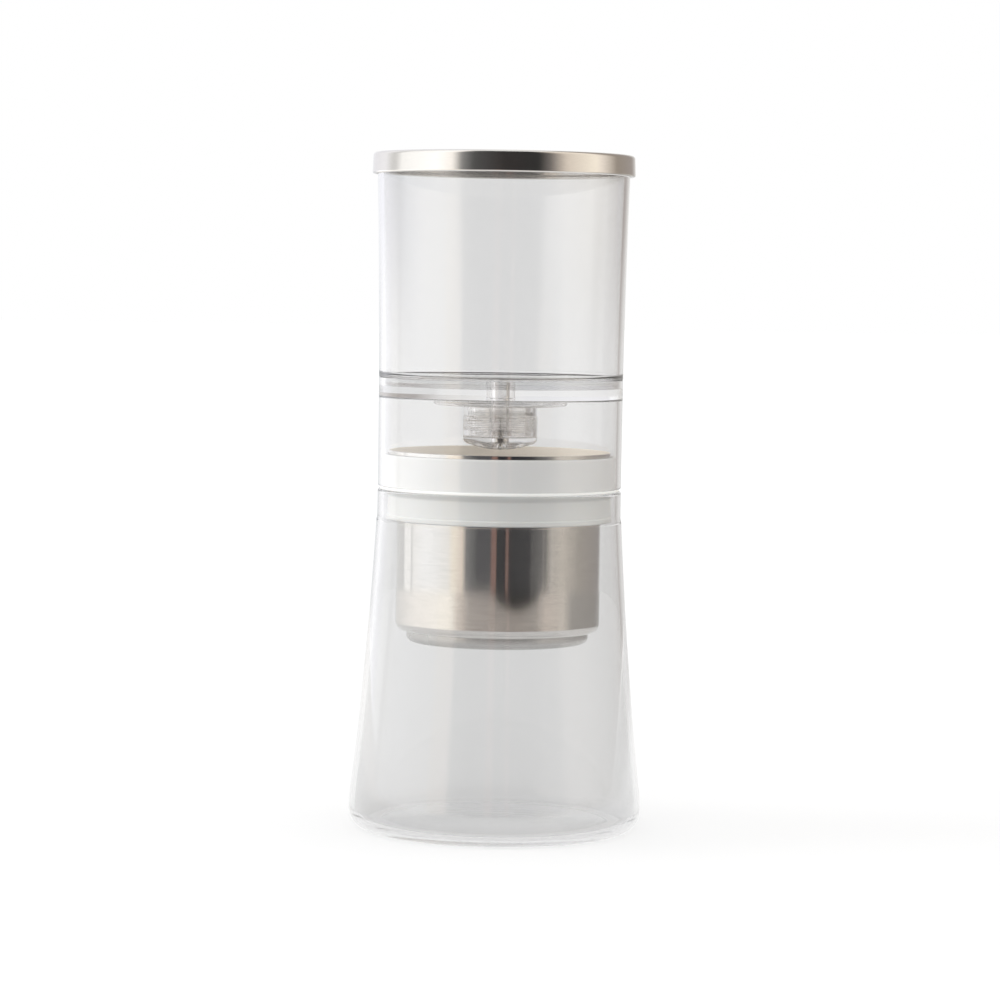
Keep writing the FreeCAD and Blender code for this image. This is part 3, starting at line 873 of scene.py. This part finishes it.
def valve_body():
    foot, wide = low("valve_body"), reach("valve_body")
    flange = foot + THREAD_DEPTH
    flange_top = flange + VALVE_FLANGE_THICKNESS - AIR_GAP
    groove = low("valve_gasket") - AIR_GAP
    seat = foot + SEAT_TUBE_SHORTER
    seat_top = seat + SEAT_HEIGHT
    nipple_top = high("valve_body")
    ring_low, ring_high = (foot + RING_HEIGHT + side * RING_SECTION for side in (-1, 1))
    groove_outer = reach("valve_gasket") + AIR_GAP
    groove_inner = reach("valve_gasket") - GASKET_WIDTH - AIR_GAP
    outline = [
        (SEAT_RADIUS, seat, 0.2),
        (SEAT_TUBE, seat, 0.3),
        (SEAT_TUBE, flange, 0.5),
        (THREAD_BORE, flange, 0.5),
        (THREAD_BORE, foot, 0.3),
        (THREAD_RADIUS, foot, 0.4),
        *evenly((THREAD_RADIUS, foot + 0.5), (THREAD_RADIUS, ring_low - 0.3)),
        (THREAD_RADIUS, ring_low, 0.15),
        (RING_GROOVE, ring_low, 0.15),
        (RING_GROOVE, ring_high, 0.15),
        (THREAD_RADIUS, ring_high, 0.15),
        (THREAD_RADIUS, flange, 0.4),
        (wide, flange, 1.3),
        (wide, flange_top, 0.3),
        (groove_outer, flange_top),
        (groove_outer, groove),
        (groove_inner, groove),
        (groove_inner, flange_top),
        (NIPPLE, flange_top, 0.3),
        (NIPPLE, nipple_top, 0.3),
        (WATER_BORE, nipple_top, 0.3),
        (WATER_BORE, seat_top, 0.2),
        (SEAT_RADIUS, seat_top, 0.2),
    ]
    name = "valve_body_moulding"
    mesh = threaded(name, turned_mesh(name, outline, SMALL_TURNS), wall=THREAD_RADIUS,
                    lowest=foot + 0.6, highest=ring_low - 0.4, rise=THREAD_HEIGHT)
    piece(name, mesh, "tank", VALVE_PLASTIC, "clear_plastic", "valve_body")


def valve_gasket():
    foot, wide = low("valve_gasket"), reach("valve_gasket")
    top = high("valve_gasket") - AIR_GAP / 2
    turned_piece("valve_gasket_ring", [
        (wide - GASKET_WIDTH, foot, 0.2),
        (wide, foot, 0.2),
        (wide, top, 0.2),
        (wide - GASKET_WIDTH, top, 0.2),
    ], "tank", CLEAR_SILICONE, "clear_silicone", "valve_gasket", SMALL_TURNS)


def fluted(foot):
    """Warp that scoops the crown's finger flutes out of the knob that stands on foot."""
    spacing = 2 * math.pi / FLUTES
    ceiling = foot + FLUTE_HEIGHT

    def warp(radius, height, angle):
        off = (angle + spacing / 2) % spacing - spacing / 2
        ahead, aside = radius * math.cos(off) - FLUTE_CIRCLE, radius * math.sin(off)
        apart = math.hypot(ahead, aside) / FLUTE_RADIUS
        if height >= ceiling or apart >= 1:
            return radius, height
        return radius, height + (ceiling - height) * min(1.0, FLUTE_SWEEP * (1 - apart ** 2))

    return warp


def valve_knob():
    foot, top, wide = low("valve_knob"), high("valve_knob"), reach("valve_knob")
    land = top - KNOB_LAND_DEPTH
    neck = top - KNOB_NECK
    crown = (wide - KNOB_CORNER, foot + CROWN_HEIGHT)
    corner_end = (wide, foot + CROWN_HEIGHT + KNOB_CORNER)
    relief = foot + RELIEF_HEIGHT
    floor_top = foot + KNOB_FLOOR
    pocket = HEAD_RADIUS + FIT
    pocket_floor = floor_top - HEAD_HEIGHT
    outline = [
        (0, foot),
        *bowed((0, foot), crown, CROWN_HEIGHT / 4, CROWN_STEPS),
        *bowed(crown, corner_end, KNOB_CORNER * CORNER_BOW, CORNER_STEPS),
        corner_end,
        (wide, neck - 0.3, 0.2),
        (KNOB_NECK_RADIUS, neck, 0.2),
        (KNOB_NECK_RADIUS, top, 0.5),
        (KNOB_LAND, top, 0.4),
        (KNOB_LAND, land, 0.1),
        (KNOB_BORE, land - 0.1, 0.05),
        *evenly((KNOB_BORE, land - 0.2), (KNOB_BORE, relief)),
        (KNOB_BORE, relief, 0.1),
        (RELIEF, relief - 0.3, 0.1),
        (RELIEF, floor_top, 0.6),
        (pocket, floor_top, 0.2),
        (pocket, pocket_floor, 0.2),
        (0, pocket_floor),
    ]
    name = "valve_knob_moulding"
    mesh = threaded(name, turned_mesh(name, outline, SMALL_TURNS, fluted(foot)), wall=KNOB_BORE,
                    lowest=relief + 0.1, highest=land - 0.2, rise=-THREAD_HEIGHT, shift=0.5)
    piece(name, mesh, "knob", VALVE_PLASTIC, "clear_plastic", "valve_knob")


# ---------------------------------------------------------------- lid

LID_TOP_RADIUS = 55.55
LID_SHEET = 0.6
LID_CORNER = 1.5
HEM_WALL = 1.5
HEM_HEIGHT = 1.6


def lid():
    foot, top, wide = low("lid_shell"), high("lid_shell"), reach("lid_shell")
    under = top - LID_SHEET
    turned_piece("lid_pressing", [
        (wide - HEM_WALL, foot, 0.7),
        (wide, foot, 0.7),
        (LID_TOP_RADIUS, top, LID_CORNER),
        (0, top),
        (0, under),
        (LID_TOP_RADIUS - LID_SHEET, under, LID_CORNER - LID_SHEET),
        (wide - LID_SHEET, foot + HEM_HEIGHT, 0.2),
        (wide - HEM_WALL, foot + HEM_HEIGHT, 0.3),
    ], "lid", LID_STEEL, "brushed_lid_steel", "lid_shell")


carafe()
neck_seal()
collar()
basket_cup()
filter_ring()
filter_mesh()
water_tank()
tank_skirt()
valve_body()
valve_gasket()
valve_knob()
lid()

for node, finish in {
    "spreader_tray": RING_STEEL, "filter_gasket": WHITE_SILICONE,
    "valve_seat": CLEAR_SILICONE, "knob_ring": CLEAR_SILICONE, "valve_needle": RING_STEEL,
}.items():
    dress(frame["nodes"][node].data, finish)


# ---------------------------------------------------------------- studio

SEEN_WHITE = 1.0           # strength of the background to rays that show it
FILL = 1.05                # strength of the world as a light
FLOOR_SIZE = 30.0          # m
FLOOR_ALBEDO = 0.45
FLOOR_LIFT = 0.47          # added where the floor is seen
FAR_LIFT = 0.60
FAR_FLOOR = (0.2, 3.0)     # m from the object, between which the one goes over to the other
FLOOR_END = 1.06           # m, where the floor ends in front, as metal shows it
FLOOR_TILT = math.radians(20)
NEAR_FLOOR = (0.75, 0.4)   # m, between which the floor round the object turns white in metal
SEEN_THROUGH = (0.8, 1.0)  # least and greatest tone of the wall seen through clear walls
WALL_DISTANCE = 1.2        # m from the object's axis
WALL_TOP = 4.5
WALL_STEPS = 96
LID_LEVEL = (0.17, 0.27)   # m, where the wall's lower tones give way to its higher ones
DARK_TOP = (2.5, 3.5)      # m, where the wall turns white
EDGE_FROM = (118, 124)     # degrees off the front, where the outer faces' own tones set in

# Tones by the angle in degrees from the front, positive to the right, each a grey or a
# colour: of the wall where the lid mirrors it, of the wall lower down, where the cup does,
# of the same behind the object, where the outer faces of the clear parts do, and of the
# floor in the cup.
GLOW = (0.36, 0.22, 0.19)
GLOOM = (0.045, 0.045, 0.05)
HIGH_TONES = [
    (-177, 1.0), (-172, (0.93, 0.94, 0.97)), (-150, (1.0, 1.0, 1.05)), (-125, (1.15, 1.15, 1.2)),
    (-113, 0.85), (-107, 0.85), (-99, 1.3), (-60, 1.5), (-45, (1.35, 1.3, 1.25)), (-37, 0.3),
    (-26, 0.1), (0, (0.045, 0.04, 0.04)), (30, 0.035), (40, (0.22, 0.2, 0.19)),
    (55, (0.9, 0.8, 0.7)), (86, (1.25, 1.15, 1.0)), (92, (1.1, 1.0, 0.9)),
    (114, (0.4, 0.35, 0.3)), (148, (0.42, 0.38, 0.36)), (172, (0.93, 0.92, 0.9)), (177, 1.0),
]
LOW_TONES = [
    (-178, 1.0), (-130, 1.0), (-125, 1.6), (-113, 1.6), (-112, 1.1), (-106, 1.55),
    (-85, (1.65, 1.67, 1.7)), (-56, 1.45), (-52, (1.5, 1.4, 1.25)), (-40, (1.4, 1.25, 1.1)),
    (-35, 0.35), (-22, (0.13, 0.13, 0.14)), (-7.5, (0.13, 0.13, 0.14)),
    (-7, GLOW), (-2, GLOW), (-1.5, GLOOM), (8, GLOOM), (8.5, GLOW), (10.5, GLOW), (11, GLOOM),
    (34, (0.07, 0.07, 0.075)), (37, 0.16), (49, (0.25, 0.24, 0.24)), (50, (0.45, 0.43, 0.41)),
    (52, (0.28, 0.27, 0.26)), (60, (0.85, 0.8, 0.74)), (74, (0.88, 0.82, 0.74)),
    (100, (0.53, 0.49, 0.45)), (148, (0.42, 0.39, 0.38)), (160, 0.9), (178, 1.0),
]
EDGE_TONES = [
    (-178, (0.8, 0.81, 0.83)), (-158, (0.75, 0.77, 0.8)), (-147, (1.3, 1.3, 1.35)),
    (-140, (1.9, 1.9, 2.0)), (-128, (1.9, 1.9, 2.0)), (-118, 1.6), (118, (0.6, 0.57, 0.53)),
    (141, (0.8, 0.76, 0.72)), (155, (0.6, 0.58, 0.55)), (178, 0.65),
]
FLOOR_TONES = [
    (-178, 0.8), (-100, (1.6, 1.55, 1.5)), (-56, (1.7, 1.65, 1.55)), (-44, (1.2, 1.1, 1.0)),
    (-30, (0.72, 0.66, 0.62)), (20, (0.6, 0.54, 0.5)), (42, (0.65, 0.6, 0.56)),
    (54, (1.0, 0.9, 0.82)), (76, (0.95, 0.88, 0.8)), (90, (0.48, 0.46, 0.44)),
    (140, (0.4, 0.38, 0.36)), (178, 0.8),
]


def seen_directly(tree):
    """1 where a ray shows its target, also in metal or through glass, and 0 where it lights."""
    path = add(tree, "ShaderNodeLightPath")
    shown = maths(tree, "MAXIMUM", path.outputs["Is Camera Ray"], maths(
        tree, "MAXIMUM", path.outputs["Is Glossy Ray"], path.outputs["Is Transmission Ray"]))
    unscattered = maths(tree, "LESS_THAN", path.outputs["Diffuse Depth"], 0.5)
    return maths(tree, "MULTIPLY", shown, unscattered)


def seen_in_metal(tree):
    """1 where the lid or the cup mirrors its target once: straight, or through both faces
    of a clear wall on the way in and again on the way out."""
    path = add(tree, "ShaderNodeLightPath")
    mirrored = maths(tree, "COMPARE", path.outputs["Glossy Depth"], 1.0, 0.5)
    faces = maths(tree, "MODULO", path.outputs["Transmission Depth"], 4.0)
    return maths(tree, "MULTIPLY", mirrored, maths(tree, "LESS_THAN", faces, 0.5))


def angle_round(tree, axes):
    """The angle from the front round Z, from 0 at -180 degrees to 1 at 180."""
    forward = maths(tree, "MULTIPLY", axes[1], -1.0)
    turn = maths(tree, "DIVIDE", maths(tree, "ARCTAN2", axes[0], forward), 2 * math.pi)
    return maths(tree, "ADD", turn, 0.5)


def world():
    room = bpy.data.worlds.new("pale_room")
    room.use_nodes = True
    tree = room.node_tree
    tree.nodes.clear()
    strength = add(tree, "ShaderNodeMix", {
        "Factor": seen_directly(tree), "A": FILL, "B": SEEN_WHITE,
    })
    light = add(tree, "ShaderNodeBackground", {"Color": grey(1), "Strength": result(strength)})
    add(tree, "ShaderNodeOutputWorld", {"Surface": light.outputs[0]})
    bpy.context.scene.world = room


def tone_ramp(tree, along, tones):
    """Colour by the angle round the object, which runs from 0 to 1."""
    ramp = add(tree, "ShaderNodeValToRGB", {"Fac": along})
    stops = ramp.color_ramp.elements
    while len(stops) < len(tones):
        stops.new(1.0)
    for stop, (angle, tone) in zip(stops, tones):
        stop.position = angle / 360 + 0.5
        stop.color = (*tone, 1) if isinstance(tone, tuple) else grey(tone)
    return ramp.outputs["Color"]


def studio_sheet(name, points, faces, finish):
    mesh = bpy.data.meshes.new(name)
    mesh.from_pydata(points, [], faces)
    mesh.materials.append(finish)
    return in_scene(name, mesh)


def floor():
    """Pale floor that shows white where it is lit and keeps the object's shadow. Metal
    shows it in its own tones up to where it ends in front and the dark room begins."""
    finish, tree = blank("pale_floor")
    axes = object_axes(tree)
    distance = off_axis(tree, axes)
    away = add(tree, "ShaderNodeMapRange", {
        "Value": distance, "From Min": FAR_FLOOR[0], "From Max": FAR_FLOOR[1],
        "To Min": FLOOR_LIFT, "To Max": FAR_LIFT,
    })
    lift = add(tree, "ShaderNodeEmission", {
        "Color": grey(1),
        "Strength": maths(tree, "MULTIPLY", seen_directly(tree), away.outputs["Result"]),
    })
    paper = add(tree, "ShaderNodeBsdfDiffuse", {"Color": grey(FLOOR_ALBEDO)})
    both = add(tree, "ShaderNodeAddShader", {0: paper.outputs[0], 1: lift.outputs[0]})
    forward = maths(
        tree, "SUBTRACT", maths(tree, "MULTIPLY", axes[0], math.sin(FLOOR_TILT)),
        maths(tree, "MULTIPLY", axes[1], math.cos(FLOOR_TILT)))
    near = add(tree, "ShaderNodeMapRange", {
        "Value": distance, "From Min": NEAR_FLOOR[0], "From Max": NEAR_FLOOR[1],
    })
    tones = tone_ramp(tree, angle_round(tree, axes), FLOOR_TONES)
    mirrored = add(tree, "ShaderNodeEmission", {
        "Color": mixed(tree, near.outputs["Result"], tones, grey(1)),
        "Strength": maths(tree, "LESS_THAN", forward, FLOOR_END),
    })
    mix = add(tree, "ShaderNodeMixShader", {
        0: seen_in_metal(tree), 1: both.outputs[0], 2: mirrored.outputs[0],
    })
    add(tree, "ShaderNodeOutputMaterial", {"Surface": mix.outputs[0]})
    half = FLOOR_SIZE / 2
    corners = [(-half, -half, 0), (half, -half, 0), (half, half, 0), (-half, half, 0)]
    sheet = studio_sheet("floor", corners, [(0, 1, 2, 3)], finish)


def studio_wall():
    """Round wall of soft boxes and dark room that only metal and glass show."""
    finish, tree = blank("studio_tones")
    axes = object_axes(tree)
    along = angle_round(tree, axes)
    path = add(tree, "ShaderNodeLightPath")
    outer = maths(tree, "LESS_THAN", path.outputs["Transmission Depth"], 0.5)
    off_front = maths(tree, "ABSOLUTE", maths(tree, "SUBTRACT", along, 0.5))
    behind = add(tree, "ShaderNodeMapRange", {
        "Value": off_front, "From Min": EDGE_FROM[0] / 360, "From Max": EDGE_FROM[1] / 360,
    })
    shade = mixed(
        tree, maths(tree, "MULTIPLY", outer, behind.outputs["Result"]),
        tone_ramp(tree, along, LOW_TONES), tone_ramp(tree, along, EDGE_TONES))
    for level, higher in (
        (LID_LEVEL, tone_ramp(tree, along, HIGH_TONES)), (DARK_TOP, grey(1)),
    ):
        risen = add(tree, "ShaderNodeMapRange", {
            "Value": axes[2], "From Min": level[0], "From Max": level[1],
        })
        shade = mixed(tree, risen.outputs["Result"], shade, higher)
    passing = maths(tree, "LESS_THAN", path.outputs["Glossy Depth"], 0.5)
    for tone, blend in zip(SEEN_THROUGH, ("LIGHTEN", "DARKEN")):
        shade = mixed(tree, passing, shade, grey(tone), blend)
    glow = add(tree, "ShaderNodeEmission", {"Color": shade, "Strength": 1.0})
    add(tree, "ShaderNodeOutputMaterial", {"Surface": glow.outputs[0]})
    points = []
    for step in range(WALL_STEPS):
        angle = 2 * math.pi * step / WALL_STEPS
        aside, ahead = WALL_DISTANCE * math.sin(angle), WALL_DISTANCE * math.cos(angle)
        points += [(aside, -ahead, 0), (aside, -ahead, WALL_TOP)]
    count = len(points)
    sheet = studio_sheet("studio_wall", points, [
        (foot, (foot + 2) % count, (foot + 3) % count, foot + 1) for foot in range(0, count, 2)
    ], finish)
    sheet.visible_camera = False
    sheet.visible_diffuse = False
    sheet.visible_shadow = False


SOFTBOX_SIZE = 0.9         # m
LIGHTS_AIM = Vector((0, 0, 0.15))


def softbox(name, place, power, colour=(1, 1, 1)):
    lamp = bpy.data.lights.new(name, "AREA")
    lamp.shape = "RECTANGLE"
    lamp.size = lamp.size_y = SOFTBOX_SIZE
    lamp.energy = power
    lamp.color = colour
    holder = in_scene(name, lamp)
    holder.location = place
    holder.rotation_euler = (LIGHTS_AIM - Vector(place)).to_track_quat("-Z", "Y").to_euler()
    holder.visible_glossy = False
    holder.visible_transmission = False


LIGHT_GUIDE_BOUNCES = 96   # enough for light that runs along inside the clear walls
TRANSPARENT_BOUNCES = 32
FOCAL_PX = 3476.0          # focal length in pixels of a frame of FRAME_PX pixels
FRAME_PX = 1000.0
SENSOR = 36.0
CAMERA_DISTANCE = 1.483
CAMERA_HEIGHT = 0.2354
CAMERA_ASIDE = -0.0011
PITCH = math.radians(3.65)
ROLL = math.radians(-0.9)


def camera():
    lens = bpy.data.cameras.new("camera")
    lens.sensor_width = SENSOR
    lens.lens = FOCAL_PX / FRAME_PX * SENSOR
    holder = in_scene("camera", lens)
    holder.location = (CAMERA_ASIDE, -CAMERA_DISTANCE, CAMERA_HEIGHT)
    holder.rotation_mode = "XYZ"
    holder.rotation_euler = (math.radians(90) - PITCH, ROLL, 0)
    bpy.context.scene.camera = holder


world()
floor()
camera()
studio_wall()
softbox("key", (-1.6, -0.1, 0.6), 16.0)
softbox("fill", (1.5, 0.3, 0.5), 5.0, (1.0, 0.95, 0.88))
softbox("front", (-0.6, -1.5, 0.5), 2.8)
bpy.context.scene.view_settings.view_transform = "Standard"
paths = bpy.context.scene.cycles
paths.max_bounces = paths.transmission_bounces = paths.glossy_bounces = LIGHT_GUIDE_BOUNCES
paths.transparent_max_bounces = TRANSPARENT_BOUNCES
